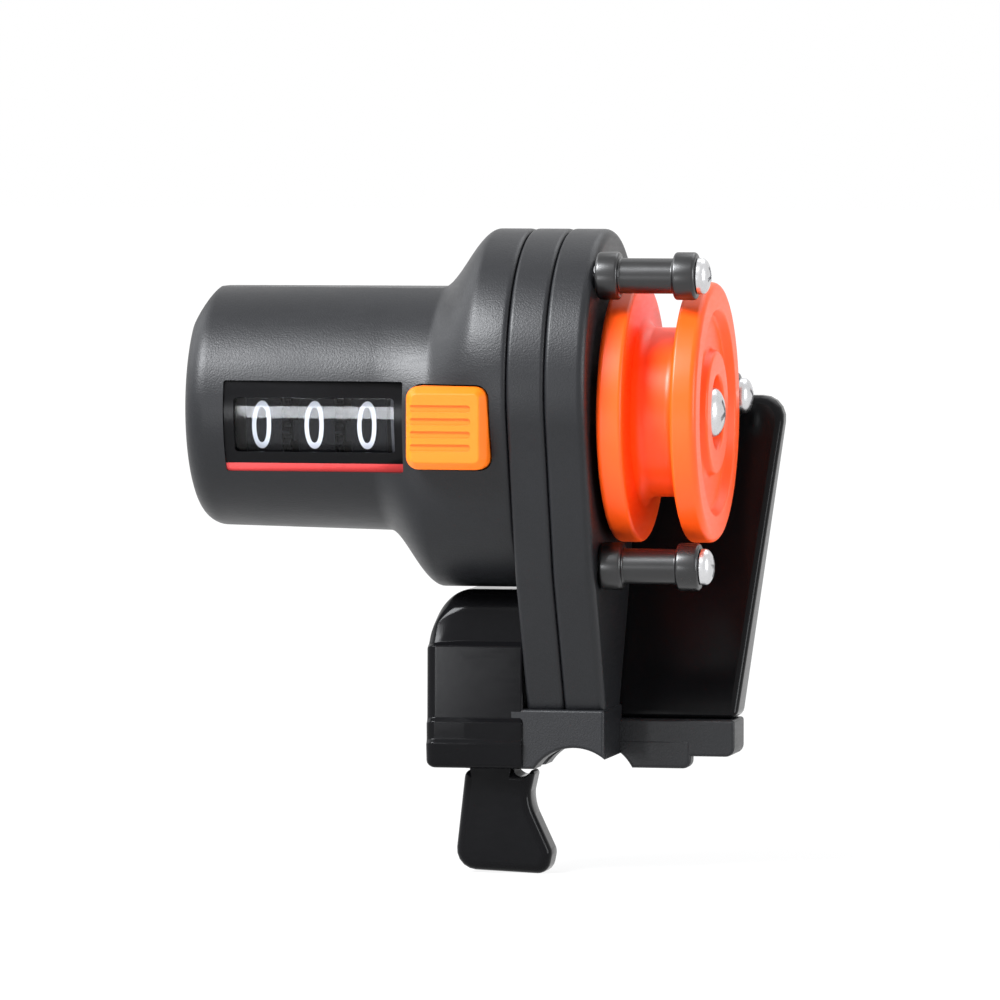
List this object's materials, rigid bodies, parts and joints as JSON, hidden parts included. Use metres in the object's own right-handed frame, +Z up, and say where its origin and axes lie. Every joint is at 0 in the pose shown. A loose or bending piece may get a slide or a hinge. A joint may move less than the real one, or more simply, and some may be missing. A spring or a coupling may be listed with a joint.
{
  "type": "fishing line counter",
  "caption": "Clip-on fishing line counter with a black barrel, a digit window with an orange reset button, an orange measuring pulley, guide rollers and a sprung rod jaw.",
  "frame": {"origin": "on the rod's axis, level with the middle of the housing's foot", "axes": "+Y along the rod, away from the window; +X along the pulley's axis, towards the pulley; +Z up"},
  "size_m": [0.0542, 0.0366, 0.0626],
  "materials": {
    "case_black": "satin, fine grain",
    "gloss_black": "glossy",
    "wheel_black": "matte, white digits",
    "clear": "clear",
    "red": "glossy",
    "pulley_orange": "satin gloss",
    "button_orange": "satin",
    "gear_white": "satin",
    "inner_grey": "satin",
    "brass": "turned",
    "steel": "bright"
  },
  "bodies": {
    "housing": {"counter_case": "case_black", "gear_case": "case_black", "gear_cover": "case_black", "clamp_base": "case_black", "window_frame": "gloss_black", "thumb_plate": "gloss_black", "window_lens": "clear", "index_strip": "red", "counter_frame": "inner_grey", "pulley_bush": "brass", "case_screws": "steel", "counter_axle": "steel", "carry_shaft": "steel", "reset_spring": "steel", "idler_axle": "steel", "roller_screws": "steel", "plate_screws": "steel", "leg_screws": "steel", "jaw_pin": "steel", "jaw_spring": "steel"},
    "units": {"digit_wheel_units": "wheel_black", "drive_gear": "gear_white"},
    "tens": {"digit_wheel_tens": "wheel_black"},
    "hundreds": {"digit_wheel_hundreds": "wheel_black"},
    "carry_tens": {"carry_pinion_tens": "gear_white"},
    "carry_hundreds": {"carry_pinion_hundreds": "gear_white"},
    "idler": {"idler_gear": "gear_white"},
    "pulley_set": {"pulley": "pulley_orange", "pulley_shaft": "steel", "pulley_screw": "steel", "input_pinion": "brass"},
    "roller_top": {"guide_roller_top": "gloss_black"},
    "roller_bottom": {"guide_roller_bottom": "gloss_black"},
    "roller_back": {"guide_roller_back": "gloss_black"},
    "reset": {"reset_button": "button_orange", "reset_comb": "inner_grey"},
    "jaw": {"clamp_jaw": "gloss_black"}
  },
  "joints": [
    {"name": "pulley_spin", "type": "hinge", "parent": "housing", "child": "pulley_set", "pos_m": [0.005, 0, 0.0371], "axis": [1, 0, 0], "continuous": true},
    {"name": "idler_spin", "type": "hinge", "parent": "housing", "child": "idler", "pos_m": [-0.002, 0.00658, 0.0409], "axis": [1, 0, 0], "continuous": true},
    {"name": "units_spin", "type": "hinge", "parent": "housing", "child": "units", "pos_m": [-0.0192, -0.00132, 0.03634], "axis": [1, 0, 0], "continuous": true},
    {"name": "tens_spin", "type": "hinge", "parent": "housing", "child": "tens", "pos_m": [-0.0244, -0.00132, 0.03634], "axis": [1, 0, 0], "continuous": true},
    {"name": "hundreds_spin", "type": "hinge", "parent": "housing", "child": "hundreds", "pos_m": [-0.0296, -0.00132, 0.03634], "axis": [1, 0, 0], "continuous": true},
    {"name": "carry_tens_spin", "type": "hinge", "parent": "housing", "child": "carry_tens", "pos_m": [-0.0218, 0.00771, 0.03761], "axis": [1, 0, 0], "continuous": true},
    {"name": "carry_hundreds_spin", "type": "hinge", "parent": "housing", "child": "carry_hundreds", "pos_m": [-0.027, 0.00771, 0.03761], "axis": [1, 0, 0], "continuous": true},
    {"name": "roller_top_spin", "type": "hinge", "parent": "housing", "child": "roller_top", "pos_m": [0.008, -0.0084, 0.0505], "axis": [1, 0, 0], "continuous": true},
    {"name": "roller_bottom_spin", "type": "hinge", "parent": "housing", "child": "roller_bottom", "pos_m": [0.008, -0.0065, 0.0225], "axis": [1, 0, 0], "continuous": true},
    {"name": "roller_back_spin", "type": "hinge", "parent": "housing", "child": "roller_back", "pos_m": [0.008, 0.0152, 0.0381], "axis": [1, 0, 0], "continuous": true},
    {"name": "reset_press", "type": "slide", "parent": "housing", "child": "reset", "axis": [0, 1, 0], "range_m": [0, 0.002], "stiffness_N_per_m": 300, "deforming": ["reset_spring"]},
    {"name": "jaw_swing", "type": "hinge", "parent": "housing", "child": "jaw", "pos_m": [-0.0085, 0, 0.0055], "axis": [0, 1, 0], "range_deg": [0, 22], "stiffness_Nm_per_rad": 0.05, "deforming": ["jaw_spring"]}
  ],
  "couplings": [
    {"joint": "idler_spin", "follows": "pulley_spin", "ratio": -0.25},
    {"joint": "units_spin", "follows": "pulley_spin", "ratio": 0.05},
    {"joint": "tens_spin", "follows": "pulley_spin", "ratio": 0.005},
    {"joint": "hundreds_spin", "follows": "pulley_spin", "ratio": 0.0005},
    {"joint": "carry_tens_spin", "follows": "pulley_spin", "ratio": -0.025},
    {"joint": "carry_hundreds_spin", "follows": "pulley_spin", "ratio": -0.0025}
  ]
}
